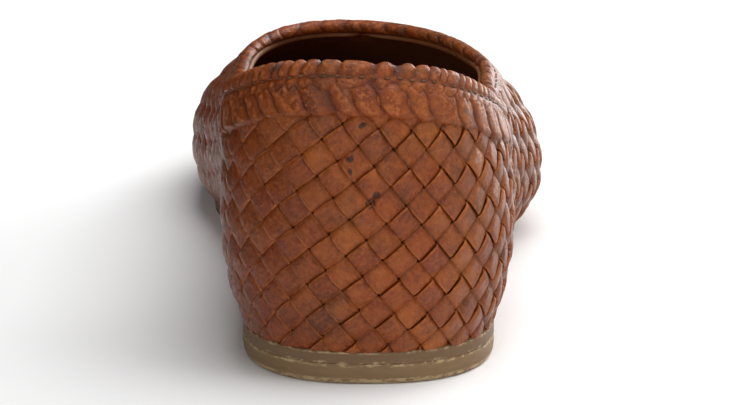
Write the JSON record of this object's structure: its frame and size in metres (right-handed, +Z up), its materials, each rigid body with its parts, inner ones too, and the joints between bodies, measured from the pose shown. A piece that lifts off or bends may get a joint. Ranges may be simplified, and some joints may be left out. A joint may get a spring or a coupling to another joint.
{
  "type": "woven ballet flat",
  "caption": "Low slip-on ballet flat, right shoe, of diagonally woven leather strips with a bound collar, thin outsole, low heel lift and insole.",
  "frame": {"origin": "on the floor, under the middle of the shoe's length and width", "axes": "+Y towards the toe, +X towards the outer side of the right foot, +Z up"},
  "size_m": [0.0928, 0.2516, 0.0744],
  "materials": {
    "outsole_rubber": "matt brown rubber, rubbed and a little dusty at the edge",
    "heel_rubber": "matt brown rubber, rounded and worn at the lower edge",
    "woven_leather": "cognac leather strips, half glossy, with darker smudges and fine cracks",
    "insole_leather": "natural tan lining leather, matt"
  },
  "bodies": {
    "root": {"outsole": "outsole_rubber", "heel_lift": "heel_rubber", "upper": "woven_leather", "insole": "insole_leather"}
  },
  "joints": []
}
